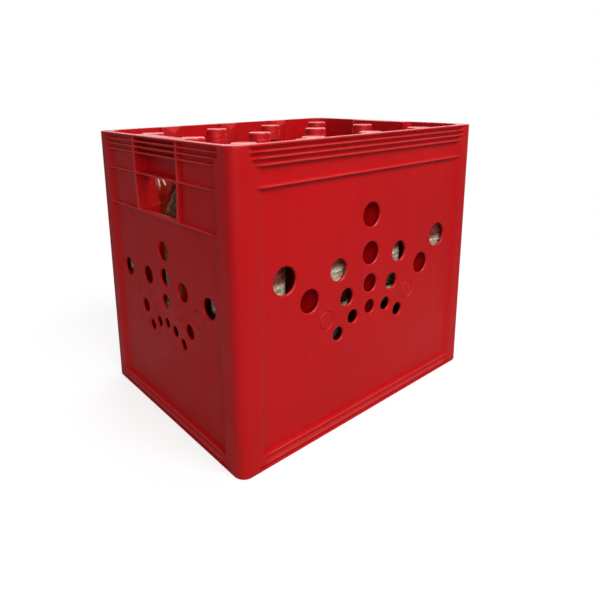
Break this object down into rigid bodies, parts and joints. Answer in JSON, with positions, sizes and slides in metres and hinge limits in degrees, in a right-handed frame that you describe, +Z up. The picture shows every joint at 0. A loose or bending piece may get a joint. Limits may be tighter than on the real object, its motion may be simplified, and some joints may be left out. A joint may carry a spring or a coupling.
{
  "type": "case of soda bottles",
  "caption": "Red moulded plastic bottle crate with hand holds and round side vents, full of capped clear glass bottles of yellow soft drink with wrapped labels.",
  "frame": {"origin": "middle of the crate's underside", "axes": "+X along the crate's length, towards one hand hold; +Y along its width; +Z up"},
  "size_m": [0.4, 0.3, 0.346],
  "materials": {
    "crate_plastic": "moulded red polyethylene, satin, with fine scuffs",
    "bottle_glass": "clear thick bottle glass, polished",
    "drink": "clear bright yellow liquid",
    "cap_plastic": "moulded red plastic with fine grip ridges",
    "label_paper": null
  },
  "bodies": {
    "root": {"crate": "crate_plastic", "glass_r1c1": "bottle_glass", "drink_r1c1": "drink", "cap_r1c1": "cap_plastic", "label_r1c1": "label_paper", "glass_r1c2": "bottle_glass", "drink_r1c2": "drink", "cap_r1c2": "cap_plastic", "label_r1c2": "label_paper", "glass_r1c3": "bottle_glass", "drink_r1c3": "drink", "cap_r1c3": "cap_plastic", "label_r1c3": "label_paper", "glass_r1c4": "bottle_glass", "drink_r1c4": "drink", "cap_r1c4": "cap_plastic", "label_r1c4": "label_paper", "glass_r2c1": "bottle_glass", "drink_r2c1": "drink", "cap_r2c1": "cap_plastic", "label_r2c1": "label_paper", "glass_r2c2": "bottle_glass", "drink_r2c2": "drink", "cap_r2c2": "cap_plastic", "label_r2c2": "label_paper", "glass_r2c3": "bottle_glass", "drink_r2c3": "drink", "cap_r2c3": "cap_plastic", "label_r2c3": "label_paper", "glass_r2c4": "bottle_glass", "drink_r2c4": "drink", "cap_r2c4": "cap_plastic", "label_r2c4": "label_paper", "glass_r3c1": "bottle_glass", "drink_r3c1": "drink", "cap_r3c1": "cap_plastic", "label_r3c1": "label_paper", "glass_r3c2": "bottle_glass", "drink_r3c2": "drink", "cap_r3c2": "cap_plastic", "label_r3c2": "label_paper", "glass_r3c3": "bottle_glass", "drink_r3c3": "drink", "cap_r3c3": "cap_plastic", "label_r3c3": "label_paper", "glass_r3c4": "bottle_glass", "drink_r3c4": "drink", "cap_r3c4": "cap_plastic", "label_r3c4": "label_paper"}
  },
  "joints": []
}
